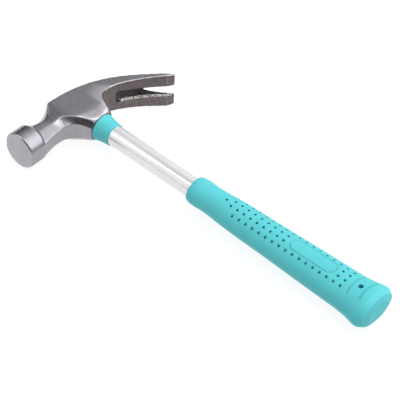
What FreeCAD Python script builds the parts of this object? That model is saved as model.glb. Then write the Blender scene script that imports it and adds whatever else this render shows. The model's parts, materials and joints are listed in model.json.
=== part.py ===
import FreeCAD, Part
import os

# Small claw hammer with a tubular steel handle, lying on its side.
#
# It is drawn about the point where the handle's axis crosses the bell's axis:
#   +X runs down the handle to the butt, +Y runs to the claws, +Z is the upper cheek.
# At the end everything is moved so that the origin is the middle of the space
# that the hammer takes up, on the surface that it lies on.

V = FreeCAD.Vector

# ---------------------------------------------------------------- driving dimensions (mm)

# handle tube
TUBE_R = 6.5
TUBE_WALL = 1.2
TUBE_TOP_X = -9.2           # upper end, just inside the head's top
PLUG_LENGTH = 16.0          # steel plug in the tube's upper end
PLUG_CHAMFER = 1.0          # lead-in of the steel plug
END_PLUG_LENGTH = 10.0      # plastic plug in the tube's lower end
END_PLUG_FLANGE = 1.5       # its flange, outside the tube's end

# bell and striking face
FACE_Y = -49.5              # striking face
BELL_R = 11.75              # radius of the round bell
BELL_FLAT_CUT = 0.95        # how deep the flats on its top and underside are ground
BELL_LENGTH = 10.5          # from the striking face to where the neck begins
FACE_CHAMFER = 0.8          # bevel round the striking face

# neck, cheeks and eye
NECK_R = 7.2                # half the neck's width over the cheeks
CHEEK_HALF = 9.7            # half the thickness of the head over the cheeks
TOP_X = -10.7               # top of the head at its shoulder
SHOULDER_Y = -16.4          # corner between the neck's top and the head's top
BOSS_END_X = 20.3           # lower end of the head, where the collar starts
BOSS_WALL = 2.1             # head's wall round the tube at its lower rim

# claws
THROAT_X = 6.5              # deepest point of the hook between the eye and the claws
THROAT_Y = 17.3
TIP_X = 28.0                # edge of the claw tips
TIP_Y = 55.2
CLAW_HALF = 12.5            # half the width across both claws, where the tips' bevel starts
TIP_HALF = 11.8             # half the width at the very tips
TIP_BEVEL = (2.0, 4.2)      # the bevel under the tips, down the handle and away from the bell
TIP_EDGE = (0.6, 0.8)       # the blunt edge that is left at the tips
SLOT_ROOT = (0.4, 7.4)      # rounded end of the nail slot, from the deepest point of the hook
SLOT_HALF = 4.2             # half the slot's width at its root, on the underside
SLOT_TIP_HALF = 3.2         # half the slot's width at the tips, on the underside
SLOT_TOP_HALF = (0.25, 3.9) # half its width on the top, at its root and beyond the tips
SLOT_RUN_OUT = 19.0         # how far beyond its root the slot comes out through the top
SLOT_DEPTH = 4.4            # how deep it is there, below the line from its root to the tips

# collar
COLLAR_LENGTH = 10.6
COLLAR_LIP = 0.15           # how far the collar stands proud of the head's rim
COLLAR_END_WALL = 0.6       # wall of the collar at its thin end
COLLAR_WAIST = 0.35         # how far the collar's side is hollowed

# grip
GRIP_TOP_X = 95.3
GRIP_END_X = 231.5
TUBE_END_TO_BUTT = 26.5     # solid rubber between the tube's end and the butt
HANG_TO_BUTT = 14.1         # hanging hole to the butt
HANG_R = 1.5
GRIP_SECTIONS = [           # (share of the grip's length, wall over the tube along Y, and along Z)
    (0.0, 1.7, 1.1), (0.005, 2.0, 1.35), (0.071, 2.5, 1.55), (0.181, 3.25, 1.8), (0.402, 4.5, 2.3),
    (0.622, 5.7, 2.8), (0.805, 6.55, 3.1), (0.872, 7.1, 3.3), (0.919, 8.2, 3.8), (0.954, 9.1, 4.2),
    (0.971, 8.8, 4.0), (0.989, 6.9, 2.5), (0.997, 4.5, 0.7), (1.0, 0.9, -1.7)]

# worked out from the values above
BELL_BACK_Y = FACE_Y + BELL_LENGTH
BELL_FLAT = BELL_R - BELL_FLAT_CUT
BOSS_R = TUBE_R + BOSS_WALL
TUBE_END_X = GRIP_END_X - TUBE_END_TO_BUTT
RIM_Y = BOSS_R - 0.1        # the rim's flat outline stays just inside its round one
FAR = 120.0                 # larger than the head, for the shapes that trim it


# ---------------------------------------------------------------- drawing helpers

def smooth(points):
    """One smooth edge through the given points."""
    spline = Part.BSplineCurve()
    spline.interpolate([V(*p) for p in points])
    return spline.toShape()


def line(a, b):
    return Part.makeLine(V(*a), V(*b))


def spot(start, end, across, along):
    """A point in the cheek's plane, given as shares of the way from start to end in X and in Y."""
    return (start[0] + across * (end[0] - start[0]), start[1] + along * (end[1] - start[1]), 0)


def neck_y(share):
    """Place along the neck: 0 at the bell's back, 1 at the shoulder."""
    return BELL_BACK_Y + share * (SHOULDER_Y - BELL_BACK_Y)


def prism(edges, direction):
    """Solid that a closed outline sweeps along a straight direction."""
    face = Part.Face(Part.Wire(Part.sortEdges(edges)[0]))
    return face.extrude(V(*direction))


def turn(edges, axis):
    """Solid of revolution of a closed outline about an axis through the drawing's centre."""
    face = Part.Face(Part.Wire(Part.sortEdges(edges)[0]))
    return face.revolve(V(0, 0, 0), V(*axis), 360)


def oval(x, depth, thickness, middle=0.0):
    """Upright oval outline across the handle: half depth along Y, half thickness along Z."""
    return Part.Wire([Part.Ellipse(V(x, middle + depth, 0), V(x, middle, thickness), V(x, middle, 0)).toShape()])


# ---------------------------------------------------------------- head

def belly_line():
    """Underside of the head, from the collar's rim along the neck to the back of the bell."""
    rim = (BOSS_END_X, -RIM_Y)
    neck = (NECK_R + 1.4, neck_y(0.863))
    return [(rim[0], rim[1], 0), spot(neck, rim, 0.564, 0.782), spot(neck, rim, 0.214, 0.482),
            (neck[0], neck[1], 0), (NECK_R + 1.0, neck_y(0.62), 0), (NECK_R + 1.7, neck_y(0.354), 0),
            (BELL_FLAT - 0.8, neck_y(0.124), 0), (BELL_FLAT, BELL_BACK_Y, 0)]


def side_outline():
    """Head seen from its cheek: neck, top, claws, throat, eye boss and belly, inside the bell's flats."""
    shoulder = (TOP_X, SHOULDER_Y, 0)
    tip_top = (TIP_X - TIP_EDGE[0], TIP_Y + TIP_EDGE[1], 0)
    tip = (TIP_X, TIP_Y, 0)
    bevel = (TIP_X - TIP_BEVEL[0], TIP_Y - TIP_BEVEL[1], 0)
    throat = (THROAT_X, THROAT_Y, 0)
    rim = (BOSS_END_X, RIM_Y, 0)
    neck_top = smooth([(-BELL_FLAT, BELL_BACK_Y, 0), (0.5 - BELL_FLAT, neck_y(0.11), 0),
                       (-NECK_R - 1.4, neck_y(0.257), 0), (-NECK_R - 0.2, neck_y(0.42), 0),
                       (-NECK_R, neck_y(0.575), 0), (-NECK_R - 0.4, neck_y(0.73), 0),
                       (TOP_X + 1.9, neck_y(0.885), 0), shoulder])
    top = smooth([shoulder, spot(shoulder, tip_top, 0.005, 0.116), spot(shoulder, tip_top, 0.055, 0.309),
                  spot(shoulder, tip_top, 0.171, 0.485), spot(shoulder, tip_top, 0.391, 0.666),
                  spot(shoulder, tip_top, 0.711, 0.851), tip_top])
    under = smooth([bevel, spot(throat, bevel, 0.508, 0.653), spot(throat, bevel, 0.179, 0.353),
                    spot(throat, bevel, 0.02, 0.139), throat, spot(throat, rim, 0.10, 0.443),
                    spot(throat, rim, 0.34, 0.716), spot(throat, rim, 0.66, 0.943), rim])
    back = line((BELL_FLAT, BELL_BACK_Y, 0), (-BELL_FLAT, BELL_BACK_Y, 0))
    return [neck_top, top, line(tip_top, tip), line(tip, bevel), under, line(rim, (BOSS_END_X, -RIM_Y, 0)),
            smooth(belly_line()), back]


def plan_outline():
    """Head seen from its top, without the bell: its half width from the neck to the tips."""
    cheek_y = 4.0
    bevel_y = TIP_Y - TIP_BEVEL[1]
    end_y = TIP_Y + TIP_EDGE[1] + 0.2
    stations = [(neck_y(0.575), NECK_R), (neck_y(0.82), NECK_R + 1.0), (SHOULDER_Y + 0.9, CHEEK_HALF - 0.25),
                (SHOULDER_Y + 7.4, CHEEK_HALF), (cheek_y, CHEEK_HALF)]
    for share, flare in ((0.234, 0.07), (0.469, 0.36), (0.703, 0.68)):
        stations.append((cheek_y + share * (TIP_Y - cheek_y), CHEEK_HALF + flare * (CLAW_HALF - CHEEK_HALF)))
    stations.append((bevel_y, CLAW_HALF))
    edges = []
    for side in (1, -1):
        edges.append(line((0, BELL_BACK_Y, side * NECK_R), (0, stations[0][0], side * NECK_R)))
        edges.append(smooth([(0, y, side * half) for y, half in stations]))
        edges.append(line((0, bevel_y, side * CLAW_HALF), (0, end_y, side * TIP_HALF)))
    edges.append(line((0, BELL_BACK_Y, NECK_R), (0, BELL_BACK_Y, -NECK_R)))
    edges.append(line((0, end_y, TIP_HALF), (0, end_y, -TIP_HALF)))
    return edges


def facet_cutter(flat_edge, cheek_edge, outward, side):
    """Takes off the corner between two lines that run along the head, given as lists of (x, y, z).

    The cut passes through both lines, and goes on a little beyond each of them.
    """
    inner = []
    outer = []
    for a, b in zip(flat_edge, cheek_edge):
        on_flat = V(a[0], a[1], side * a[2])
        on_cheek = V(b[0], b[1], side * b[2])
        reach = (on_cheek - on_flat) * 0.8
        inner.append(tuple(on_flat - reach))
        outer.append(tuple(on_cheek + reach))
    face = Part.makeRuledSurface(smooth(inner), smooth(outer))
    return face.extrude(V(outward[0], outward[1], side * outward[2]))


def belly_facet(side):
    """Facet from the neck to the collar's rim, between the belly's flat and the cheek."""
    rim, low, mid, neck = belly_line()[:4]
    flat_edge = [(BELL_FLAT, BELL_BACK_Y - 3.0, 4.9)]
    for share, rise, half in ((0.124, BELL_FLAT - 0.8, 4.8), (0.354, NECK_R + 1.7, 4.6), (0.62, NECK_R + 1.0, 4.6)):
        flat_edge.append((rise, neck_y(share), half))
    flat_edge += [(neck[0], neck[1], 5.1), (mid[0], mid[1], 5.3), (low[0], low[1], 4.6), (rim[0], rim[1], 3.4),
                  (rim[0] + 5.7, rim[1] + 2.5, 2.4)]
    cheek_edge = [(2.4, BELL_BACK_Y - 3.0, NECK_R), (1.9, neck_y(0.124), NECK_R), (1.5, neck_y(0.354), NECK_R),
                  (1.6, neck_y(0.64), NECK_R + 0.2), (3.3, neck_y(0.912), CHEEK_HALF - 1.1),
                  (mid[0] - 3.5, mid[1] + 0.1, CHEEK_HALF - 0.8), (low[0] - 2.9, low[1] + 0.5, CHEEK_HALF - 1.3),
                  (rim[0] - 2.3, rim[1] + 1.4, BOSS_R - 0.9), (rim[0] + 3.3, rim[1] + 4.0, BOSS_R - 0.9)]
    return facet_cutter(flat_edge, cheek_edge, (16, -10, 16), side)


def top_facet(side):
    """Facet along the neck's top, which runs out at the shoulder."""
    flat_edge = [(-BELL_FLAT, BELL_BACK_Y - 3.0, 4.8), (1.2 - BELL_FLAT, neck_y(0.133), 4.2),
                 (-NECK_R - 0.2, neck_y(0.42), 3.2), (-NECK_R - 0.1, neck_y(0.664), 3.6),
                 (TOP_X + 1.2, neck_y(0.912), 5.4), (TOP_X - 5.3, SHOULDER_Y + 6.4, 9.0)]
    cheek_edge = [(-3.0, BELL_BACK_Y - 3.0, NECK_R), (-3.0, neck_y(0.133), NECK_R), (-3.0, neck_y(0.42), NECK_R),
                  (-3.2, neck_y(0.664), NECK_R + 0.3), (TOP_X + 3.7, neck_y(0.912), CHEEK_HALF - 0.5),
                  (TOP_X - 3.3, SHOULDER_Y + 6.4, CHEEK_HALF + 4.3)]
    return facet_cutter(flat_edge, cheek_edge, (-16, -2, 16), side)


def rim_envelope():
    """Everything that the head may fill: a round rim at the collar that widens to ovals towards the cheeks."""
    boss_x = 3.0
    ovals = [(1.0, 0.0, BOSS_R, BOSS_R), (0.94, 0.4, BOSS_R + 2.6, BOSS_R + 0.45),
             (0.82, 1.2, BOSS_R + 9.0, BOSS_R + 0.8), (0.55, 2.8, BOSS_R + 22.0, CHEEK_HALF + 0.2),
             (0.25, 4.0, BOSS_R + 36.0, CHEEK_HALF + 1.4), (0.0, 4.0, BOSS_R + 50.0, CHEEK_HALF + 3.0)]
    boss = Part.makeLoft([oval(boss_x + share * (BOSS_END_X - boss_x), depth, half, middle)
                          for share, middle, depth, half in ovals], True, False)
    above = Part.makeBox(FAR, 2 * FAR, 2 * FAR, V(boss_x - FAR, -FAR, -FAR))
    claws = Part.makeBox(FAR, FAR, 2 * FAR, V(0, THROAT_Y - 3.3, -FAR))
    neck = Part.makeBox(FAR, FAR, 2 * FAR, V(0, SHOULDER_Y - 0.6 - FAR, -FAR))
    return boss.fuse([above, claws, neck])


def bell():
    """The bell, turned about its own axis, with a flat ground on its top and underside."""
    round_end_y = BELL_BACK_Y + 5.0
    inside_y = BELL_BACK_Y + 7.0
    back = smooth([(BELL_R, BELL_BACK_Y, 0), (BELL_R - 0.85, BELL_BACK_Y + 1.4, 0),
                   (NECK_R + 1.4, BELL_BACK_Y + 3.2, 0), (NECK_R, round_end_y, 0)])
    outline = [line((0, FACE_Y, 0), (BELL_R - FACE_CHAMFER, FACE_Y, 0)),
               line((BELL_R - FACE_CHAMFER, FACE_Y, 0), (BELL_R, FACE_Y + FACE_CHAMFER, 0)),
               line((BELL_R, FACE_Y + FACE_CHAMFER, 0), (BELL_R, BELL_BACK_Y, 0)),
               back,
               line((NECK_R, round_end_y, 0), (NECK_R - 1.0, inside_y, 0)),
               line((NECK_R - 1.0, inside_y, 0), (0, inside_y, 0)),
               line((0, inside_y, 0), (0, FACE_Y, 0))]
    slab = Part.makeBox(2 * BELL_FLAT, inside_y - FACE_Y, 4 * BELL_R, V(-BELL_FLAT, FACE_Y, -2 * BELL_R))
    return turn(outline, (0, 1, 0)).common(slab)


def slot_outline(root, along, start, half_root, half_tip, corner):
    """Outline of the nail slot in one plane: its end has two rounded corners, and it runs past the tips."""
    wide = V(0, 0, 1)
    beyond = 46.0
    bulge = corner * 0.293

    def at(distance, width):
        return root + along * distance + wide * width

    end = start + corner
    edges = [Part.makeLine(at(beyond, half_tip), at(end, half_root)),
             Part.Arc(at(end, half_root), at(start + bulge, half_root - bulge), at(start, half_root - corner)).toShape(),
             Part.makeLine(at(start, half_root - corner), at(start, corner - half_root)),
             Part.Arc(at(start, corner - half_root), at(start + bulge, bulge - half_root), at(end, -half_root)).toShape(),
             Part.makeLine(at(end, -half_root), at(beyond, -half_tip)),
             Part.makeLine(at(beyond, -half_tip), at(beyond, half_tip))]
    return Part.Wire(edges)


def nail_slot():
    """Cutter for the notch between the claws: wide on the underside, a narrow V on the top."""
    root = V(THROAT_X + SLOT_ROOT[0], THROAT_Y + SLOT_ROOT[1], 0)
    along = V(TIP_X, TIP_Y, 0) - root
    along.normalize()
    under = V(along.y, -along.x, 0)
    clear = 8.0
    low = slot_outline(root, along, 0.0, SLOT_HALF, SLOT_TIP_HALF, 2.0)
    high = slot_outline(root - under * SLOT_DEPTH, along, SLOT_RUN_OUT, *SLOT_TOP_HALF, 0.2)
    tapered = Part.makeLoft([low, high], True, True)
    below = Part.Face(low).extrude(under * clear)
    above = Part.Face(high).extrude(under * -clear)
    return tapered.fuse([below, above])


def make_head():
    """One forging: cheeks, neck and claws from two outlines, with the bell, the eye and the nail slot."""
    body = prism(side_outline(), (0, 0, 2 * FAR)).translated(V(0, 0, -FAR))
    body = body.common(prism(plan_outline(), (2 * FAR, 0, 0)).translated(V(-FAR, 0, 0)))
    body = body.common(rim_envelope())
    for side in (1, -1):
        body = body.cut(belly_facet(side))
        body = body.cut(top_facet(side))
    eye = Part.makeCylinder(TUBE_R, FAR, V(-FAR / 2, 0, 0), V(1, 0, 0))
    head = body.fuse(bell()).cut(nail_slot()).cut(eye)
    return head.removeSplitter().Solids[0]


# ---------------------------------------------------------------- handle

def rod(start, end, radius):
    """Round rod along the handle's axis."""
    return Part.makeCylinder(radius, end - start, V(start, 0, 0), V(1, 0, 0))


def make_handle_tube():
    inside_r = TUBE_R - TUBE_WALL
    return rod(TUBE_TOP_X, TUBE_END_X, TUBE_R).cut(rod(TUBE_TOP_X, TUBE_END_X, inside_r))


def make_tube_top_plug():
    """Steel plug that is driven in flush with the tube's top end."""
    plug_end_x = TUBE_TOP_X + PLUG_LENGTH
    plug = rod(TUBE_TOP_X, plug_end_x, TUBE_R - TUBE_WALL)
    lower_rim = [e for e in plug.Edges if abs(e.CenterOfMass.x - plug_end_x) < 0.01]
    return plug.makeChamfer(PLUG_CHAMFER, lower_rim)


def make_tube_end_plug():
    """Plastic plug with a flange that covers the tube's lower end."""
    stem = rod(TUBE_END_X - END_PLUG_LENGTH, TUBE_END_X, TUBE_R - TUBE_WALL)
    flange = rod(TUBE_END_X, TUBE_END_X + END_PLUG_FLANGE, TUBE_R)
    return stem.fuse(flange).removeSplitter()


def make_collar():
    """Moulded collar: a slightly hollowed cone from the head's rim down to the tube."""
    end_x = BOSS_END_X + COLLAR_LENGTH
    top_r = BOSS_R + COLLAR_LIP
    end_r = TUBE_R + COLLAR_END_WALL
    middle = V((BOSS_END_X + end_x) / 2, (top_r + end_r) / 2 - COLLAR_WAIST, 0)
    side = Part.Arc(V(BOSS_END_X, top_r, 0), middle, V(end_x, end_r, 0)).toShape()
    outline = [line((BOSS_END_X, TUBE_R, 0), (BOSS_END_X, top_r, 0)), side,
               line((end_x, end_r, 0), (end_x, TUBE_R, 0)), line((end_x, TUBE_R, 0), (BOSS_END_X, TUBE_R, 0))]
    return turn(outline, (1, 0, 0))


def make_grip():
    """Rubber sleeve that swells towards a flared butt, with a hanging hole below the tube's end."""
    length = GRIP_END_X - GRIP_TOP_X
    sleeve = Part.makeLoft([oval(GRIP_TOP_X + share * length, TUBE_R + deep, TUBE_R + thick)
                            for share, deep, thick in GRIP_SECTIONS], True, False)
    bore = rod(0, TUBE_END_X + END_PLUG_FLANGE, TUBE_R)
    hang = Part.makeCylinder(HANG_R, 2 * FAR, V(GRIP_END_X - HANG_TO_BUTT, 0, -FAR))
    return sleeve.cut(bore).cut(hang).Solids[0]


# ---------------------------------------------------------------- the whole hammer

def main():
    os.makedirs("parts", exist_ok=True)
    pieces = {
        "head": make_head(),
        "handle_tube": make_handle_tube(),
        "tube_top_plug": make_tube_top_plug(),
        "tube_end_plug": make_tube_end_plug(),
        "collar": make_collar(),
        "grip": make_grip(),
    }
    box = Part.makeCompound(list(pieces.values())).optimalBoundingBox(False, False)
    to_origin = V(-box.Center.x, -box.Center.y, -box.ZMin)
    print("origin moves by", to_origin, "size", box.XLength, box.YLength, box.ZLength)
    for name, shape in pieces.items():
        placed = shape.translated(to_origin)
        placed.exportStep("parts/" + name + ".step")
        print(name, "valid", placed.isValid(), "volume in cm3", round(placed.Volume / 1000, 2))


if __name__ == "__main__":
    main()
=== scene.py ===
# %% [markdown]
# # Dressing a small claw hammer
# The hammer has a forged and ground steel head on a chromed tube, a moulded collar that covers the
# joint between them, and a rubber grip. Its construction is fixed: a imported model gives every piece
# its size and place, in metres, with the hammer lying on its side on z = 0. This lesson gives the
# pieces the surface that the real ones have.

import json
import math

import bmesh
import bpy
import numpy as np
from mathutils import Matrix, Vector, noise
from mathutils.bvhtree import BVHTree
from mathutils.kdtree import KDTree


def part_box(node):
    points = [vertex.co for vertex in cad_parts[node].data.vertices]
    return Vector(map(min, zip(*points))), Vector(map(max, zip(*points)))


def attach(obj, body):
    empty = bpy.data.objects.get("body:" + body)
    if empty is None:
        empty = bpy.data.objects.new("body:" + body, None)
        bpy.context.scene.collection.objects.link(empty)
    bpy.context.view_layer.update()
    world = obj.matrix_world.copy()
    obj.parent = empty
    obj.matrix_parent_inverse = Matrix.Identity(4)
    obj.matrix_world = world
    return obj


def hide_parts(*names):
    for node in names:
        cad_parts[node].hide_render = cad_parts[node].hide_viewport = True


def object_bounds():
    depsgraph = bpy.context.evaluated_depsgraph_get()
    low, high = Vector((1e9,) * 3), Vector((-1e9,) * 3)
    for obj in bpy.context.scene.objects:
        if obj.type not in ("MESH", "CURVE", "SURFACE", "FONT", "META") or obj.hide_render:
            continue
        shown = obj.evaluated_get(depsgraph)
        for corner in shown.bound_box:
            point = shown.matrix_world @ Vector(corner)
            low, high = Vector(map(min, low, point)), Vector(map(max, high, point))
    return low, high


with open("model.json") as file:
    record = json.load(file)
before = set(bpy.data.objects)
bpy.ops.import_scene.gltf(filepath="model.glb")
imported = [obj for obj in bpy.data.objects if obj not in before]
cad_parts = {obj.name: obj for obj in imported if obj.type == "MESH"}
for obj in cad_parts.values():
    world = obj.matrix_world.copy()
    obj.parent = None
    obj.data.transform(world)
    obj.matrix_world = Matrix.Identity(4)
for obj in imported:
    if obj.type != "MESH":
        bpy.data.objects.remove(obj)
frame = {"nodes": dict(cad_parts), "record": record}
model_box = [list(corner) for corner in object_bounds()]
MM = 0.001
print("nodes:", sorted(frame["nodes"]))

# %% [markdown]
# Everything lines up on a few places: the handle's axis, the ends of the pieces along it, and the
# striking face. They are read from the pieces' boxes, so they follow the model if it changes.

# %% Places to measure from
HEAD_LOW, HEAD_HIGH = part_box("head")
TUBE_LOW, TUBE_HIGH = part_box("handle_tube")
GRIP_LOW, GRIP_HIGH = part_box("grip")
COLLAR_LOW, COLLAR_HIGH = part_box("collar")
PLUG_LOW, PLUG_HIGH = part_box("tube_top_plug")
AXIS_Y = (TUBE_LOW.y + TUBE_HIGH.y) / 2
AXIS_Z = (TUBE_LOW.z + TUBE_HIGH.z) / 2
TUBE_R = (TUBE_HIGH.z - TUBE_LOW.z) / 2
BORE_R = (PLUG_HIGH.z - PLUG_LOW.z) / 2
FACE_Y = HEAD_LOW.y
print("handle axis at y and z (mm):", round(AXIS_Y / MM, 2), round(AXIS_Z / MM, 2))
print("tube radius (mm):", round(TUBE_R / MM, 2))

# %% [markdown]
# ## Writing node materials as formulas
# A node material is a formula in disguise: noise goes in, masks are multiplied, colours are mixed.
# The class below wraps one output of a node, so that `rough * 0.3 + 0.2` adds the two Math nodes by
# itself. A number on the left works too, as in `1 - mask`, through the reflected methods.

# %% The socket wrapper
class Wire:
    """The output of a node. Arithmetic on it adds Math nodes to the same material."""

    def __init__(self, finish, socket):
        self.finish = finish
        self.socket = socket

    def calculate(self, operation, *values):
        return self.finish.node("ShaderNodeMath", {"operation": operation}, dict(enumerate(values)))

    def __add__(self, other):
        return self.calculate("ADD", self, other)

    def __sub__(self, other):
        return self.calculate("SUBTRACT", self, other)

    def __rsub__(self, other):
        return self.calculate("SUBTRACT", other, self)

    def __mul__(self, other):
        return self.calculate("MULTIPLY", self, other)

    def __truediv__(self, other):
        return self.calculate("DIVIDE", self, other)

    def __abs__(self):
        return self.calculate("ABSOLUTE", self)

    __radd__ = __add__
    __rmul__ = __mul__

# %% [markdown]
# Every other node comes from one method. It sets the node's settings first, because an operation or
# a colour ramp's stops decide what the sockets mean, and then sets or links the sockets.

# %% The material writer
class Finish:
    """A node material that is being written. Its shader is one Principled BSDF."""

    def __init__(self, name, **constants):
        self.material = bpy.data.materials.new(name)
        self.material.use_nodes = True
        self.tree = self.material.node_tree
        self.shader = self.tree.nodes["Principled BSDF"]
        for socket, value in constants.items():
            self.shader.inputs[socket.replace("_", " ").title().replace("Ior", "IOR")].default_value = value

    def feed(self, socket, value):
        if isinstance(value, Wire):
            self.tree.links.new(value.socket, socket)
        else:
            socket.default_value = value

    def node(self, kind, settings=None, sockets=None, output=0):
        made = self.tree.nodes.new(kind)
        for name, value in (settings or {}).items():
            if name == "stops":
                set_stops(made.color_ramp, value)
            else:
                setattr(made, name, value)
        for name, value in (sockets or {}).items():
            self.feed(made.inputs[name], value)
        return Wire(self, made.outputs[output])

    def drive(self, **values):
        """Links what changes over the surface to the shader."""
        for socket, value in values.items():
            self.feed(self.shader.inputs[socket.replace("_", " ").title()], value)


def set_stops(ramp, stops):
    """Gives a colour ramp these stops, each one a position and a colour or a grey."""
    while len(ramp.elements) < len(stops):
        ramp.elements.new(0.5)
    for element, (position, colour) in zip(ramp.elements, stops):
        element.position = position
        element.color = colour if isinstance(colour, tuple) else (colour, colour, colour, 1.0)

# %% [markdown]
# A few formulas are used by every finish: the place on the piece, noise of a given grain, a smooth
# step between two values, a colour mix, and a bump. The noise takes a grain size for each axis, so a
# long grain along one axis and a short one across it makes the streaks of a grinding belt.

# %% Formulas shared by the finishes
def place(finish):
    """The point on the piece, in metres, in the hammer's own frame."""
    return finish.node("ShaderNodeTexCoord", output=3)


def parts_of(finish, vector):
    split = finish.node("ShaderNodeSeparateXYZ", sockets={0: vector})
    return [Wire(finish, output) for output in split.socket.node.outputs]


def grain(finish, point, size_x, size_y, size_z, detail=3.0, turned=0.0):
    """Noise from 0 to 1 whose grain has these sizes in metres, turned about Z by an angle in degrees."""
    if turned:
        point = finish.node("ShaderNodeVectorRotate", {"rotation_type": "Z_AXIS"},
                            {"Vector": point, "Angle": math.radians(turned)})
    scaled = finish.node("ShaderNodeVectorMath", {"operation": "MULTIPLY"},
                         {0: point, 1: (1 / size_x, 1 / size_y, 1 / size_z)})
    return finish.node("ShaderNodeTexNoise", sockets={"Vector": scaled, "Scale": 1.0, "Detail": detail})


def step(finish, value, start, end):
    """0 below start and 1 above end, with a smooth slope between them."""
    return finish.node("ShaderNodeMapRange", {"interpolation_type": "SMOOTHSTEP"},
                       {"Value": value, "From Min": start, "From Max": end})


def blend(finish, share, first, second):
    """The first colour where share is 0, and the second where it is 1."""
    return finish.node("ShaderNodeMix", {"data_type": "RGBA"}, {0: share, 6: first, 7: second}, output=2)


def bump(finish, height, depth):
    """Surface normals of a relief, where a height of 1 is depth metres."""
    return finish.node("ShaderNodeBump", sockets={"Height": height, "Distance": depth, "Strength": 1.0})


NEUTRAL = (1.0, 1.0, 1.0)
VIOLET = (1.04, 1.0, 1.09)
RUSTY = (1.24, 1.0, 1.02)
TORN = (1.06, 1.0, 0.97)
COOL = (1.0, 1.0, 1.03)


def grey(value, tint=NEUTRAL):
    """A grey with a slight tint."""
    return tuple(value * share for share in tint) + (1.0,)

# %% [markdown]
# ## The head's shape
# The head is one forging. A drop hammer leaves its skin dark and rough; then a grinding belt cleans
# the cheeks, the neck and the bell, and rounds the edges that it runs over. Cut edges, such as those
# of the striking face and the belly, stay crisp.
#
# Its outline is already right in the fixed model, but every edge there is perfectly sharp. Bevel
# modifiers need clean edge loops, which a model cut out of solids lacks. So the head is remeshed
# into even cells of a third of a millimetre, and its points are then relaxed towards their
# neighbours: a little where the edge is crisp, and more where the belt has rounded it.

# %% Copying a piece into even cells
def welded_copy(node):
    """The mesh of a fixed piece with its doubled points merged."""
    mesh = bmesh.new()
    mesh.from_mesh(frame["nodes"][node].data)
    bmesh.ops.remove_doubles(mesh, verts=mesh.verts, dist=1e-6)
    copy = bpy.data.meshes.new(node + "_copy")
    mesh.to_mesh(copy)
    mesh.free()
    return copy


def finished_mesh(piece):
    """The piece's mesh with its modifiers worked in."""
    return bpy.data.meshes.new_from_object(piece.evaluated_get(bpy.context.evaluated_depsgraph_get()))


def add_piece(name, mesh, finish=None):
    piece = bpy.data.objects.new(name, mesh)
    bpy.context.scene.collection.objects.link(piece)
    mesh.shade_smooth()
    if finish:
        mesh.materials.clear()
        mesh.materials.append(finish.material)
    return piece


CELL = 0.36 * MM
forging = add_piece("head_forging", welded_copy("head"))
cells = forging.modifiers.new("cells", "REMESH")
cells.mode = "VOXEL"
cells.voxel_size = CELL
bpy.context.view_layer.update()
coarse, forging.data = forging.data, finished_mesh(forging)
forging.modifiers.clear()
bpy.data.meshes.remove(coarse)
print("head cells:", len(forging.data.polygons))

# %% [markdown]
# The relaxing works on plain arrays of points. The same neighbour average blurs a mask, which is how
# a mask is widened by a few cells or given a soft edge.

# %% Arrays and neighbour averages
def points_of(mesh):
    return np.array([vertex.co for vertex in mesh.vertices])


def normals_of(mesh):
    return np.array([vertex.normal for vertex in mesh.vertices])


def edges_of(mesh):
    return np.array([edge.vertices for edge in mesh.edges])


def set_points(mesh, points):
    mesh.vertices.foreach_set("co", points.astype(np.float32).ravel())
    mesh.update()


def neighbour_mean(values, edges):
    """For each point, the mean of its neighbours' values."""
    table = values.reshape(len(values), -1)
    near = np.concatenate([edges, edges[:, ::-1]])
    count = np.bincount(near[:, 0], minlength=len(values))
    total = [np.bincount(near[:, 0], column[near[:, 1]], len(values)) for column in table.T]
    return (np.array(total) / count).T.reshape(values.shape)


def relax(values, edges, weight, rounds):
    """Moves each value towards its neighbours' mean, by its own weight, several times."""
    for _ in range(rounds):
        values = values + weight * (neighbour_mean(values, edges) - values)
    return values


def fade(values, start, end):
    """0 below start, 1 above end, and a smooth slope between them."""
    share = np.clip((values - start) / (end - start), 0, 1)
    return share * share * (3 - 2 * share)

# %% [markdown]
# Where is an edge crisp? The belly, the striking face, the top and the claws' underside all stand
# upright while the hammer lies on its side. An edge of one of those is cut, and stays crisp. Away
# from them, what meets are two surfaces that the belt has run over, and it rounds their edge.

# %% How round each edge is
BELL_BACK_Y = FACE_Y + 10.5 * MM
SLOT_ROOT_Y = AXIS_Y + 24.7 * MM
SLOT_HALF_WIDTH = 4.3 * MM
hook = next(o for o in frame["record"]["physics"]["openings"] if o["name"] == "throat")
HOOK_MIDDLE = (np.array(hook["box_m"][0]) + np.array(hook["box_m"][1])) / 2

edges = edges_of(forging.data)
points = relax(points_of(forging.data), edges, 0.35, 3)
set_points(forging.data, points)
normals = normals_of(forging.data)

upright = (np.abs(normals[:, 2]) < 0.35).astype(float)
beside_upright = fade(relax(upright, edges, 1.0, 6), 0.0, 0.05)
beyond_bell = fade(points[:, 1], BELL_BACK_Y + 0.5 * MM, BELL_BACK_Y + 3 * MM)
belt_rounded = (1 - beside_upright) * beyond_bell
print("points on rounded edges:", int((belt_rounded > 0.5).sum()), "of", len(points))

# %% [markdown]
# The hook between the claws and the eye is where the belt can't reach, so the forging's dark skin
# is left there. A point has that skin if its surface looks towards the middle of the hook, or into
# the nail slot. The slot was punched afterwards: inside it is painted nearly black, partly dark scale
# and partly painted shade, and the punch tore up a bright burr along one side of it.

# %% Where the forging's skin is left
def distance_to(points, targets):
    """The distance from each point to the nearest target."""
    tree = KDTree(len(targets))
    for index, target in enumerate(targets):
        tree.insert(target, index)
    tree.balance()
    return np.array([tree.find(point)[2] for point in points])


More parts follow.
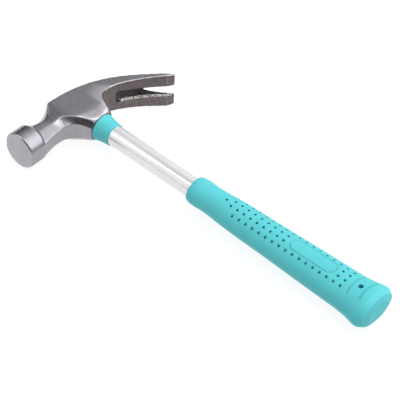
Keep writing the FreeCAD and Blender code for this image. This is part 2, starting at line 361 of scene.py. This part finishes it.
toward_hook = HOOK_MIDDLE[:2] - points[:, :2]
toward_hook /= np.linalg.norm(toward_hook, axis=1)[:, None]
facing_hook = (toward_hook * normals[:, :2]).sum(axis=1)
height = points[:, 2] - AXIS_Z
along_y = points[:, 1]
claw_side = fade(along_y, AXIS_Y + 6 * MM, AXIS_Y + 8 * MM)
slot_wall = fade(-normals[:, 2] * np.sign(height), 0.25, 0.6) * (np.abs(height) < 7 * MM)
slot_wall *= fade(along_y, AXIS_Y + 20 * MM, AXIS_Y + 22 * MM)
slot_floor = fade(SLOT_HALF_WIDTH - np.abs(height), 0.0, 0.4 * MM) * fade(facing_hook, 0.1, 0.4)
slot_floor *= fade(along_y, SLOT_ROOT_Y, SLOT_ROOT_Y + 1.0 * MM)
cavity = np.maximum(slot_wall, slot_floor)
under_claws = fade(facing_hook, 0.25, 0.6) * fade(0.8 - np.abs(normals[:, 2]), 0.0, 0.3)
forged_skin = claw_side * np.maximum(under_claws, cavity)
print("forged skin:", int((forged_skin > 0.5).sum()), "slot:", int((cavity > 0.5).sum()))

# %% [markdown]
# Distances to those areas place everything else. The burr is the strip of the slot's lower wall next
# to the claws' underside. The belt rounds the claws' side edges, and a painted highlight runs along
# them as a bright line. Round the throat a dark line of painted shade runs along the skin's edge, and
# a painted shadow lies on the cheek where it meets the collar. Near the throat and the collar the
# cheek rolls off a little, and a painted highlight brightens it there.

# %% The burr, the painted highlight line, the painted shade lines and the painted cheek highlight
is_skin = (forged_skin > 0.5) & (cavity < 0.5)
from_skin = distance_to(points, points[is_skin])
from_ground = distance_to(points, points[(forged_skin < 0.5) & (np.abs(normals[:, 2]) > 0.8)])
on_claws = fade(along_y, AXIS_Y + 15.5 * MM, AXIS_Y + 18.5 * MM)
before_claws = 1 - fade(along_y, AXIS_Y + 11 * MM, AXIS_Y + 16 * MM)
near_eye = fade(along_y, BELL_BACK_Y, AXIS_Y - 6 * MM) * before_claws
burr = cavity * (height < 0) * fade(2.3 * MM - from_skin, 0.0, 0.8 * MM)
burr *= fade(along_y, SLOT_ROOT_Y + 2.0 * MM, SLOT_ROOT_Y + 3.5 * MM)
from_bevel = np.abs(along_y - (HEAD_HIGH.y - 5.0 * MM))
tip_bevel = under_claws * fade(0.5 * MM - from_bevel, 0.0, 0.4 * MM)
# A bright line painted along the claws' rounded side edges: a painted highlight.
polished = (1 - forged_skin) * on_claws * fade(0.7 * MM - from_skin, 0.0, 0.6 * MM)
polished *= np.abs(height) > 7 * MM
# Painted shade: a dark line on the forged skin where it meets the ground steel, half as dark on the claws.
shaded = is_skin * fade(1.2 * MM - from_ground, 0.0, 0.7 * MM) * (1 - 0.5 * on_claws)
# Painted shade: the same dark line on the ground side of the skin's edge round the throat.
throat_shadow_line = (1 - is_skin) * claw_side * (1 - on_claws)
throat_shadow_line *= fade(1.0 * MM - from_skin, 0.0, 0.4 * MM)
# Painted shadow on the cheek where it meets the collar.
collar_shadow = near_eye * fade(points[:, 0], COLLAR_LOW.x - 0.9 * MM, COLLAR_LOW.x - 0.3 * MM)
shaded = np.maximum(shaded, np.maximum(throat_shadow_line, 0.8 * collar_shadow))
reach = (1.0 + 10.0 * (1 - fade(along_y, AXIS_Y + 15 * MM, AXIS_Y + 24 * MM))) * MM
rolled = np.clip(1 - from_skin / reach, 0, 1) * (1 - forged_skin) * claw_side
by_collar = near_eye * fade(points[:, 0], COLLAR_LOW.x - 13 * MM, COLLAR_LOW.x - 3 * MM)
# Painted highlight on the cheek where it rolls off near the throat and the collar; it also makes the steel
# a little rougher there.
worn = fade(np.abs(normals[:, 2]), 0.75, 0.92) * np.maximum(rolled, 0.8 * by_collar)
for name, mask in (("burr", burr), ("polished", polished), ("worn", worn)):
    print(name, "points:", int((mask > 0.5).sum()))

# %% [markdown]
# Now the points are relaxed: strongly along the belt's blends, less along the claws' rounded side
# edges, and a touch everywhere else. The forged skin then gets real pits and scale, a few hundredths of a
# millimetre deep, from noise with a fixed seed, and the burr gets coarser lumps.

# %% Round the edges and roughen the skin
def lumps(points, size, offset=0.0):
    """Smooth noise from -1 to 1 at each point, with lumps of the given size."""
    return np.array([noise.noise(Vector(point) / size + Vector((offset,) * 3)) for point in points])


weight = np.maximum(0.06, np.maximum(0.5 * belt_rounded, np.maximum(0.2 * polished, 0.25 * burr)))
points = relax(points, edges, weight[:, None], 22)
points[:, 2] -= np.sign(height) * 0.35 * MM * (rolled * fade(np.abs(normals[:, 2]), 0.5, 0.8)) ** 2
skinned = np.flatnonzero(forged_skin > 0.05)
pits = lumps(points[skinned], 1.6 * MM) * 0.05 * MM
pits += lumps(points[skinned], 0.8 * MM, 7.0) * 0.035 * MM
torn = lumps(points[skinned], 1.0 * MM, 3.0) * 0.2 * MM * burr[skinned]
points[skinned] += normals[skinned] * (forged_skin[skinned] * pits + torn - 0.06 * MM)[:, None]
set_points(forging.data, points)
SURFACES = {"forged_skin": forged_skin, "cavity": cavity, "burr": np.maximum(burr, 0.25 * tip_bevel),
            "polished": polished, "shaded": shaded, "worn": worn}
for name, values in SURFACES.items():
    layer = forging.data.attributes.new(name, "FLOAT", "POINT")
    layer.data.foreach_set("value", values.astype(np.float32))
print("head box (mm):", np.round(points.min(0) / MM, 2), np.round(points.max(0) / MM, 2))

# %% [markdown]
# ## The head's finish
# Ground steel is bare metal with fine streaks along the belt's travel. On the cheeks the belt ran
# nearly along the handle; on the belly and the top it ran across the head; and the bell was turned,
# so its marks go round it. One noise per direction is made, and the surface's own direction chooses
# between them. The streaks feed the roughness and a very shallow bump. The forged skin is brown and
# dull, with fine pale specks.

# %% Ground and forged steel
def ground_streaks(finish, point, looks_up):
    """Streaks of a grinding belt, from 0 to 1. They turn with the side of the head that they are on."""
    on_cheek = grain(finish, point, 10 * MM, 0.5 * MM, 10 * MM, turned=12.0)
    across = grain(finish, point, 0.5 * MM, 0.5 * MM, 14 * MM)
    turned = grain(finish, point, 14 * MM, 0.5 * MM, 14 * MM)
    on_bell = 1 - step(finish, parts_of(finish, point)[1], BELL_BACK_Y, BELL_BACK_Y + 0.4 * MM)
    flat = on_cheek * looks_up + across * (1 - looks_up)
    return step(finish, turned * on_bell + flat * (1 - on_bell), 0.25, 0.75)


def ground_colour(finish, point, streaks, looks_up, worn, polished):
    """Bare steel. The upright sides are painted darker, as shade; the rolled-off cheek and the claws' edge
    line get painted highlights.
    """
    clouds = grain(finish, point, 8 * MM, 8 * MM, 8 * MM, detail=4.0)
    on_face = 1 - step(finish, parts_of(finish, point)[1], FACE_Y + 0.1 * MM, FACE_Y + 0.6 * MM)
    marks = streaks * 0.55 + clouds * 0.45
    cheek = blend(finish, marks, grey(0.37, VIOLET), grey(0.48, VIOLET))
    # The upright sides take a darker copy of the steel: painted shade, weaker on the striking face.
    upright = blend(finish, marks, grey(0.25, VIOLET), grey(0.38, VIOLET))
    ground = blend(finish, (1 - looks_up) * (1 - on_face * 0.6), cheek, upright)
    # The rolled-off cheek near the throat and the collar is painted brighter: a painted highlight.
    ground = blend(finish, worn, ground, blend(finish, marks, grey(0.62, VIOLET), grey(0.82, VIOLET)))
    # The bright line along the claws' edges is a painted highlight.
    return blend(finish, polished, ground, grey(0.95))


def forged_colour(finish, specks, cavity, burr):
    """Brown scale with pale specks; the slot near black, partly scale and partly painted shade; bright torn
    metal on its burr.
    """
    scale = blend(finish, step(finish, specks, 0.42, 0.68), grey(0.10, RUSTY), grey(0.21, RUSTY))
    # Inside the slot: dark scale, darkened further as painted shade.
    slot_scale_and_shade = blend(finish, step(finish, specks, 0.42, 0.66), grey(0.006, RUSTY), grey(0.09, RUSTY))
    scale = blend(finish, cavity, scale, slot_scale_and_shade)
    return blend(finish, burr * step(finish, specks, 0.42, 0.54), scale, grey(0.70, TORN))


def make_head_steel():
    finish = Finish("ground_and_forged_steel", specular_ior_level=0.5)
    point = place(finish)
    surface = {name: finish.node("ShaderNodeAttribute", {"attribute_name": name}, output=2)
               for name in SURFACES}
    normal = finish.node("ShaderNodeNewGeometry", output=1)
    looks_up = step(finish, abs(parts_of(finish, normal)[2]), 0.35, 0.7)
    streaks = ground_streaks(finish, point, looks_up)
    specks = grain(finish, point, 0.7 * MM, 0.7 * MM, 0.7 * MM, detail=5.0)
    skin = surface["forged_skin"]
    ground = ground_colour(finish, point, streaks, looks_up, surface["worn"], surface["polished"])
    forged = forged_colour(finish, specks, surface["cavity"], surface["burr"])
    colour = blend(finish, skin, ground, forged)
    # The dark lines at the skin's edge, round the throat and at the collar are painted shade.
    colour = blend(finish, surface["shaded"] * 0.85, colour, grey(0.012, RUSTY))
    dull = 0.62 + specks * 0.2
    shine = 0.24 + streaks * 0.12 + surface["worn"] * 0.1
    finish.drive(base_color=colour, metallic=1 - skin * 0.6,
                 roughness=dull * skin + shine * (1 - skin),
                 normal=bump(finish, streaks * (1 - skin) * 0.05 + specks * skin, 0.05 * MM))
    return finish


head_steel = make_head_steel()
forging.data.materials.append(head_steel.material)
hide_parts("head")
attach(forging, "root")
print("head finish nodes:", len(head_steel.tree.nodes))

# %% [markdown]
# ## Pieces made of rings
# The tube, the collar and the grip are all swept round the handle's axis, so each is a stack of
# rings. Quads between the rings give clean shading and cost nothing to bend or dent. A stack either
# closes on itself, as a tube's wall does, or ends in two caps.

# %% Rings into a mesh
def ring(x, half_depth, half_thickness, around):
    """One oval ring about the handle's axis; around holds the angle of each of its points."""
    return np.stack([np.full(len(around), x), AXIS_Y + half_depth * np.cos(around),
                     AXIS_Z + half_thickness * np.sin(around)], axis=1)


def mesh_of_rings(name, rings, closes):
    """Joins each ring to the next with quads; the last meets the first, or both get a cap."""
    count, size = rings.shape[:2]
    corner = np.arange(count * size).reshape(count, size)
    if closes:
        corner = np.vstack([corner, corner[:1]])
    a, b = corner[:-1], corner[1:]
    quads = np.stack([a, b, np.roll(b, -1, axis=1), np.roll(a, -1, axis=1)], axis=-1)
    quads = quads.reshape(-1, 4).tolist()
    points = rings.reshape(-1, 3).tolist()
    if not closes:
        for end, flip in ((corner[0], False), (corner[-1], True)):
            middle = len(points)
            points.append(rings.reshape(-1, 3)[end].mean(axis=0).tolist())
            for p, q in zip(end, np.roll(end, -1)):
                quads.append((middle, q, p) if flip else (middle, p, q))
    mesh = bpy.data.meshes.new(name)
    mesh.from_pydata(points, [], quads)
    mesh.update()
    return mesh


def even_angles(count):
    return np.linspace(0, 2 * math.pi, count, endpoint=False)

# %% [markdown]
# ## The handle's tube
# The tube is drawn steel with a bright chrome plating. Its profile is the wall's section with a small
# round on each corner, and it is turned about the axis. Plating is nearly a mirror, so its finish is
# mostly what surrounds it, broken by a faint haze of wiping marks along the tube.

# %% The tube
def rounded_corner(x, radius, toward_x, toward_r, size, steps=4):
    """Points that replace the corner at (x, radius), from the side along X to the side along the radius."""
    turn = np.linspace(0, math.pi / 2, steps)
    along = x + toward_x * size * (1 - np.sin(turn))
    outward = radius + toward_r * size * (1 - np.cos(turn))
    return list(zip(along, outward))


def make_tube():
    x_top, x_end = TUBE_LOW.x, TUBE_HIGH.x
    small = 0.25 * MM
    profile = rounded_corner(x_top, TUBE_R, 1, -1, small)
    profile += rounded_corner(x_top, BORE_R, 1, 1, small)[::-1]
    profile += rounded_corner(x_end, BORE_R, -1, 1, small)
    profile += rounded_corner(x_end, TUBE_R, -1, -1, small)[::-1]
    around = even_angles(160)
    rings = np.array([ring(x, radius, radius, around) for x, radius in profile])
    return mesh_of_rings("plated_tube", rings, closes=True)


def make_chrome():
    finish = Finish("bright_chrome")
    point = place(finish)
    wiping = grain(finish, point, 60 * MM, 0.5 * MM, 0.5 * MM)
    haze = grain(finish, point, 12 * MM, 6 * MM, 6 * MM, detail=4.0)
    finish.drive(base_color=blend(finish, wiping * 0.5 + haze * 0.5, grey(0.80, COOL), grey(0.86, COOL)),
                 metallic=0.38 + haze * 0.1, roughness=0.09 + haze * 0.05)
    return finish


tube = add_piece("plated_tube", make_tube(), make_chrome())
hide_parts("handle_tube")
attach(tube, "root")
print("tube faces:", len(tube.data.polygons))

# %% [markdown]
# ## The turquoise mouldings
# The collar and the grip are the same soft plastic. It scatters light under a dull, slightly uneven
# skin, so the finish is mostly colour with a broad sheen. The moulding's fine texture is a shallow
# bump, and handling has left the surface a little shinier in places.

# %% Turquoise plastic
def make_turquoise():
    finish = Finish("turquoise_moulding", ior=1.48, specular_ior_level=0.25)
    point = place(finish)
    cloud = grain(finish, point, 14 * MM, 10 * MM, 10 * MM, detail=4.0)
    skin = grain(finish, point, 0.35 * MM, 0.35 * MM, 0.35 * MM)
    shade = blend(finish, cloud * 0.7 + skin * 0.3, (0.075, 0.48, 0.52, 1.0), (0.105, 0.55, 0.585, 1.0))
    # Painted shade: the grip's dimples, panel outline, grooves, hole rim and butt end are darkened.
    pressed = finish.node("ShaderNodeAttribute", {"attribute_name": "pressed"}, output=2)
    shade = blend(finish, pressed, shade, (0.0, 0.055, 0.075, 1.0))
    finish.drive(base_color=shade, roughness=0.42 + cloud * 0.14 + skin * 0.06,
                 normal=bump(finish, skin, 0.02 * MM))
    return finish


turquoise = make_turquoise()
print("turquoise nodes:", len(turquoise.tree.nodes))

# %% [markdown]
# ## The collar
# The collar hides the rim of the head's eye. Its side is a slightly hollowed cone that starts just
# proud of the head and thins towards the tube. The side's curve is read from the fixed model by
# looking for its surface along rays, so the piece follows it; the lips are rounded.

# %% Reading a fixed piece's outline
def surface_reader(node):
    """A function that gives the distance from the handle's axis to the outside of a fixed piece."""
    tree = BVHTree.FromObject(frame["nodes"][node], bpy.context.evaluated_depsgraph_get())

    def radius_at(x, angle):
        outward = Vector((0, math.cos(angle), math.sin(angle)))
        far = Vector((x, AXIS_Y, AXIS_Z)) + outward * 0.05
        hit = tree.ray_cast(far, -outward)[0]
        return (hit - Vector((x, AXIS_Y, AXIS_Z))).length

    return radius_at


def make_collar():
    radius_at = surface_reader("collar")
    small = 0.18 * MM
    x_top, x_end = COLLAR_LOW.x, COLLAR_HIGH.x
    lip = radius_at(x_top + 0.02 * MM, 0.3)
    thin = radius_at(x_end - 0.02 * MM, 0.3)
    side = [(x, radius_at(x, 0.3)) for x in np.linspace(x_top + 2 * small, x_end - 2 * small, 12)]
    profile = [(x_top, TUBE_R + small)] + rounded_corner(x_top, lip, 1, -1, small)[::-1] + side
    profile += rounded_corner(x_end, thin, -1, -1, small) + [(x_end, TUBE_R + 0.02 * MM)]
    profile += [(x_top + small, TUBE_R + 0.02 * MM)]
    around = even_angles(144)
    rings = np.array([ring(x, radius, radius, around) for x, radius in profile])
    return mesh_of_rings("moulded_collar", rings, closes=True)


collar = add_piece("moulded_collar", make_collar(), turquoise)
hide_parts("collar")
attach(collar, "root")
print("collar faces:", len(collar.data.polygons))

# %% [markdown]
# ## The grip
# The grip swells from a slim neck to a flared butt. Its sections are ovals, so two measured curves
# describe it: half the depth and half the thickness along the handle. The thickness is worked out
# from a slanting ray, because a ray straight down would fall through the hanging hole. Both flat
# sides carry the same relief: rows of small round dimples that stop a wet hand from slipping, a long
# outlined panel, and two curved grooves beside the hanging hole.
#
# A grid fine enough for a 1.5 mm dimple everywhere would waste most of its faces. So the rings stand
# closer where the relief is, and each ring has more points on its two flat sides.

# %% The grip's outline
GRIP_LENGTH = GRIP_HIGH.x - GRIP_LOW.x
RELIEF_START = GRIP_LOW.x + 21.5 * MM
RELIEF_END = GRIP_HIGH.x - 5.4 * MM
BUTT_CORNERS = GRIP_HIGH.x - np.array([4.6, 1.5, 0.02]) * MM


def grip_stations():
    """Places of the rings along the grip, closest together over the relief and at the butt."""
    neck = np.arange(GRIP_LOW.x + 0.9 * MM, RELIEF_START, 1.0 * MM)
    relief = np.arange(RELIEF_START, RELIEF_END, 0.3 * MM)
    beside = np.array([-0.5, -0.12, 0.0, 0.12, 0.5]) * MM
    butt = [corner + beside for corner in BUTT_CORNERS[:-1]]
    return np.concatenate([neck, relief, *butt, BUTT_CORNERS[-1:] - 0.12 * MM, BUTT_CORNERS[-1:]])


def grip_angles():
    """Angles round the grip, closest together on the two flat sides."""
    even = even_angles(212)
    return even + 0.23 * np.sin(2 * even)


stations = grip_stations()
radius_at = surface_reader("grip")
SLANT = math.radians(50)
half_depth = np.array([radius_at(x, 0.0) for x in stations])
slanting = np.array([radius_at(x, SLANT) for x in stations])
half_thickness = slanting * math.sin(SLANT) / np.sqrt(1 - (slanting * math.cos(SLANT) / half_depth) ** 2)
beyond = stations > BUTT_CORNERS[0]
for measured in (half_depth, half_thickness):
    at_corners = np.interp(BUTT_CORNERS, stations, measured)
    measured[beyond] = np.interp(stations[beyond], BUTT_CORNERS, at_corners)
print("grip rings:", len(stations), "deepest", round(half_depth.max() / MM, 2), "mm")

# %% [markdown]
# The relief is a formula: at a place along the handle and across it, how deep is the surface pressed
# in? Each feature adds its own depth. A dimple is a round bowl; a groove is a bowl-shaped channel at
# a given distance from a line, so a stadium-shaped panel needs only the distance to its middle line.

# %% The grip's relief
DIMPLE_PITCH = 4.93 * MM
DIMPLE_START = GRIP_LOW.x + 24.0 * MM
ROW_Y = (2.25 * MM, 6.48 * MM)
DIMPLE_R = 0.85 * MM
HANG_X = GRIP_HIGH.x - 14.1 * MM
HANG_R = 1.5 * MM


def dimple_places():
    """Middles of the dimples: two inner rows that stop at the panel, and two outer rows."""
    places = [(DIMPLE_START, 0.0)]
    for column in range(1, 19):
        x = DIMPLE_START + column * DIMPLE_PITCH
        for row, used in ((ROW_Y[0], column <= 9 or column >= 17), (ROW_Y[1], column >= 2)):
            if used:
                places += [(x, row), (x, -row)]
    return places


def bowl(distance, radius, depth):
    """Depth of a round-bottomed hollow with a steep side, at a distance from its middle."""
    return depth * (1 - fade(distance, 0.45 * radius, 1.1 * radius))


def panel_distance(x, y):
    """Distance from the outline of the long panel."""
    middle = HANG_X - 33.9 * MM
    half_run, half_width = 11.6 * MM, 4.4 * MM
    along = np.maximum(np.abs(x - middle) - half_run, 0)
    return np.abs(np.hypot(along, y) - half_width)


def groove_distance(x, y, start, bend):
    """Distance from a groove that runs across the grip and bends towards the butt at its ends."""
    beyond = np.maximum(np.abs(y) - 7.6 * MM, 0)
    return np.hypot(x - start - bend * y * y, beyond)


def relief(x, y, dimple, panel, groove, rim):
    """The relief at a place on a flat side, where each kind of feature has its own strength."""
    total = np.zeros_like(x)
    for dimple_x, dimple_y in dimple_places():
        total = np.maximum(total, bowl(np.hypot(x - dimple_x, y - dimple_y), DIMPLE_R, dimple))
    total = np.maximum(total, bowl(panel_distance(x, y), 0.6 * MM, panel))
    for offset in (-4.8 * MM, 3.5 * MM):
        total = np.maximum(total, bowl(groove_distance(x, y, HANG_X + offset, 16.0), 1.0 * MM, groove))
    return np.maximum(total, bowl(np.hypot(x - HANG_X, y), 1.35 * HANG_R, rim))


print("dimples on each side:", len(dimple_places()))

# %% [markdown]
# The skin is built flat first, and then pressed in along its own normals. Those come from the two
# directions of the grid, by a cross product. Beyond the skin, a few rings turn the top lip inwards
# and line the bore, so that the sleeve is a closed solid round the tube. The hanging hole is cut
# last, with a Boolean, because a relief can't go through.

# %% Build the grip
def grip_skin():
    around = grip_angles()
    sizes = zip(stations, half_depth, half_thickness)
    skin = np.array([ring(x, deep, thick, around) for x, deep, thick in sizes])
    along = np.gradient(skin, axis=0)
    about = np.roll(skin, -1, axis=1) - np.roll(skin, 1, axis=1)
    outward = np.cross(about, along)
    outward /= np.linalg.norm(outward, axis=2)[:, :, None]
    flat_side = fade(np.abs(outward[:, :, 2]), 0.25, 0.45)
    across = skin[:, :, 1] - AXIS_Y
    depth = relief(skin[:, :, 0], across, 1.1 * MM, 0.25 * MM, 0.3 * MM, 0.35 * MM) * flat_side
    return skin - outward * depth[:, :, None]


def grip_rings():
    around = grip_angles()
    skin = grip_skin()
    lip = GRIP_LOW.x
    snug = TUBE_R + 0.02 * MM
    bore_end = TUBE_HIGH.x
    inside = [ring(bore_end, snug * 0.02, snug * 0.02, around),
              ring(bore_end, snug, snug, around),
              ring(lip + 0.4 * MM, snug, snug, around),
              ring(lip + 0.1 * MM, snug + 0.3 * MM, snug + 0.2 * MM, around)]
    first = skin[0]
    to_lip = np.array([lip - first[0, 0], 0, 0])
    from_axis = first - [first[0, 0], AXIS_Y, AXIS_Z]
    edge = [first + to_lip * share - from_axis * inward
            for share, inward in ((1.0, 0.055), (0.85, 0.03), (0.5, 0.01))]
    last = skin[-1]
    middle = last.mean(axis=0)
    cap = [middle + (last - middle) * share for share in (0.93, 0.8, 0.6, 0.4, 0.2)]
    for one in cap:
        one[:, 0] = GRIP_HIGH.x - 0.01 * MM
    return np.array(inside + edge + list(skin) + cap)


def make_grip():
    piece = add_piece("rubber_grip", mesh_of_rings("rubber_grip", grip_rings(), closes=False), turquoise)
    drill = bmesh.new()
    bmesh.ops.create_cone(drill, cap_ends=True, segments=48, radius1=HANG_R, radius2=HANG_R, depth=0.06)
    bmesh.ops.translate(drill, verts=drill.verts, vec=(HANG_X, AXIS_Y, AXIS_Z))
    cutter = bpy.data.objects.new("drill", bpy.data.meshes.new("drill"))
    drill.to_mesh(cutter.data)
    cut = piece.modifiers.new("hanging_hole", "BOOLEAN")
    cut.object = cutter
    cut.operation = "DIFFERENCE"
    bpy.context.scene.collection.objects.link(cutter)
    bpy.context.view_layer.update()
    piece.data = finished_mesh(piece)
    piece.modifiers.clear()
    bpy.data.objects.remove(cutter)
    points = points_of(piece.data)
    # The relief, with other strengths, is painted into the colour as shade, darkest in the dimples.
    shade = relief(points[:, 0], points[:, 1] - AXIS_Y, 1.4, 0.22, 0.2, 0.3)
    shade *= np.abs(points[:, 2] - AXIS_Z) > 3 * MM
    # The butt's end face is painted a little darker, as shade.
    shade = np.minimum(np.maximum(shade, 0.13 * (points[:, 0] > BUTT_CORNERS[1])), 1)
    layer = piece.data.attributes.new("pressed", "FLOAT", "POINT")
    layer.data.foreach_set("value", shade.astype(np.float32))
    return piece


grip = make_grip()
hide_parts("grip")
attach(grip, "root")
print("grip faces:", len(grip.data.polygons))

# %% [markdown]
# ## The two plugs
# A steel plug is driven into the tube's top end to spread it in the head's eye, and a plastic plug
# closes the lower end inside the grip. Their fixed shapes are right, so they only get a finish. The
# steel one is turned, so its marks are rings about its axis.

# %% Finishes for the plugs
def make_turned_steel():
    finish = Finish("turned_plug_steel")
    point = place(finish)
    _, across, up = parts_of(finish, point)
    from_axis = finish.node("ShaderNodeMath", {"operation": "SQRT"},
                            {0: (across - AXIS_Y) * (across - AXIS_Y) + (up - AXIS_Z) * (up - AXIS_Z)})
    rings = finish.node("ShaderNodeTexNoise", {"noise_dimensions": "1D"},
                        {"W": from_axis / (0.25 * MM), "Scale": 1.0})
    stain = grain(finish, point, 3 * MM, 3 * MM, 3 * MM)
    finish.drive(base_color=blend(finish, rings * 0.5 + stain * 0.5, grey(0.28), grey(0.5)),
                 metallic=0.95, roughness=0.3 + stain * 0.25, normal=bump(finish, rings, 0.03 * MM))
    return finish


def make_black_plastic():
    finish = Finish("black_plug_plastic")
    point = place(finish)
    flow = grain(finish, point, 4 * MM, 1 * MM, 1 * MM)
    finish.drive(base_color=blend(finish, flow, grey(0.02), grey(0.045)), roughness=0.45 + flow * 0.2,
                 normal=bump(finish, flow, 0.02 * MM))
    return finish


for node, finish in (("tube_top_plug", make_turned_steel()), ("tube_end_plug", make_black_plastic())):
    mesh = frame["nodes"][node].data
    mesh.materials.clear()
    mesh.materials.append(finish.material)
    print(node, "has", finish.material.name)

# %% [markdown]
# ## The studio
# The hammer lies on a large, pale, even sweep. Light comes from a broad bright side behind the
# hammer's right and from above, and the side where the viewer stands is darker, which gives the bare
# metal its dark bands. The world carries that slow change of brightness, and five soft panels add
# the highlights. The widest one lights the hammer from above but isn't mirrored in it.

# %% Floor
def make_floor():
    finish = Finish("pale_sweep", roughness=0.9, emission_strength=1.0)
    mottle = grain(finish, place(finish), 0.25, 0.25, 0.25)
    finish.drive(base_color=blend(finish, mottle, grey(0.14), grey(0.16)))
    finish.shader.inputs["Emission Color"].default_value = grey(0.88)
    half = 3.0
    corners = [(-half, -half, 0), (half, -half, 0), (half, half, 0), (-half, half, 0)]
    mesh = bpy.data.meshes.new("sweep")
    mesh.from_pydata(corners, [], [(0, 1, 2, 3)])
    return add_piece("sweep", mesh, finish)


make_floor()

# %% World and lights
BRIGHT_SIDE = Vector((0.45, 0.75, 0.48)).normalized()


def make_world():
    world = bpy.data.worlds.new("studio")
    bpy.context.scene.world = world
    world.use_nodes = True
    tree = world.node_tree
    toward = tree.nodes.new("ShaderNodeTexCoord")
    lean = tree.nodes.new("ShaderNodeVectorMath")
    lean.operation = "DOT_PRODUCT"
    lean.inputs[1].default_value = BRIGHT_SIDE
    ramp = tree.nodes.new("ShaderNodeValToRGB")
    set_stops(ramp.color_ramp, [(0.0, 0.05), (0.45, 0.07), (0.53, 0.12), (0.62, 0.21), (0.70, 0.44),
                                (0.77, 0.67), (0.89, 1.2), (0.97, 2.5)])
    span = tree.nodes.new("ShaderNodeMapRange")
    span.inputs["From Min"].default_value = -1.0
    tree.links.new(toward.outputs["Generated"], lean.inputs[0])
    tree.links.new(lean.outputs["Value"], span.inputs["Value"])
    tree.links.new(span.outputs[0], ramp.inputs[0])
    split = tree.nodes.new("ShaderNodeSeparateXYZ")
    horizon = tree.nodes.new("ShaderNodeMapRange")
    for name, value in (("From Min", 0.05), ("From Max", 0.35), ("To Min", 0.2), ("To Max", 0.8)):
        horizon.inputs[name].default_value = value
    tree.links.new(toward.outputs["Generated"], split.inputs[0])
    tree.links.new(split.outputs[2], horizon.inputs["Value"])
    tree.links.new(ramp.outputs[0], tree.nodes["Background"].inputs["Color"])
    tree.links.new(horizon.outputs[0], tree.nodes["Background"].inputs["Strength"])


def add_panel(name, toward, distance, size, power):
    """A soft panel that shines at the hammer from a direction."""
    light = bpy.data.lights.new(name, "AREA")
    light.shape = "RECTANGLE"
    light.size, light.size_y = size
    light.energy = power
    panel = bpy.data.objects.new(name, light)
    bpy.context.scene.collection.objects.link(panel)
    direction = Vector(toward).normalized()
    panel.location = direction * distance
    panel.rotation_euler = direction.to_track_quat("Z", "Y").to_euler()
    return panel


make_world()
add_panel("top", (0.32, 0.18, 0.93), 1.2, (1.2, 1.2), 10.4).visible_glossy = False
add_panel("side", (-0.65, -0.55, 0.52), 1.2, (1.2, 1.2), 4.2)
add_panel("edge", (0.65, -0.13, 0.73), 1.2, (0.35, 0.35), 0.8)
add_panel("crest", (0.12, 0.02, 0.99), 1.2, (0.35, 0.35), 1.3)
add_panel("strip", (-0.45, -0.34, 0.82), 1.2, (0.10, 1.0), 1.6)

# %% [markdown]
# ## The camera
# A long lens from about a metre away keeps the hammer's proportions. It looks down at 45 degrees
# from in front of the striking face and a little towards the butt, and leans a few degrees, so that
# the hammer runs from the upper left to the lower right.

# %% The camera
def add_camera(aim, azimuth, elevation, lean, distance, lens):
    a, e, r = (math.radians(angle) for angle in (azimuth, elevation, lean))
    back = Vector((math.sin(a) * math.cos(e), -math.cos(a) * math.cos(e), math.sin(e)))
    level = Vector((math.cos(a), math.sin(a), 0))
    upward = back.cross(level)
    right = level * math.cos(r) + upward * math.sin(r)
    upward = back.cross(right)
    camera = bpy.data.objects.new("camera", bpy.data.cameras.new("camera"))
    bpy.context.scene.collection.objects.link(camera)
    turned = Matrix((right, upward, back)).transposed().to_4x4()
    camera.matrix_world = Matrix.Translation(aim + back * distance) @ turned
    camera.data.lens = lens
    camera.data.sensor_width = 36.0
    return camera


box_middle = (Vector(model_box[0]) + Vector(model_box[1])) / 2
aim = box_middle + Vector((-7 * MM, -8 * MM, 0))
bpy.context.scene.camera = add_camera(aim, 39.78, 44.95, 3.35, 1.1004, 171.7)
bpy.context.scene.view_settings.view_transform = "Standard"
print("camera at", [round(v, 3) for v in bpy.context.scene.camera.location])
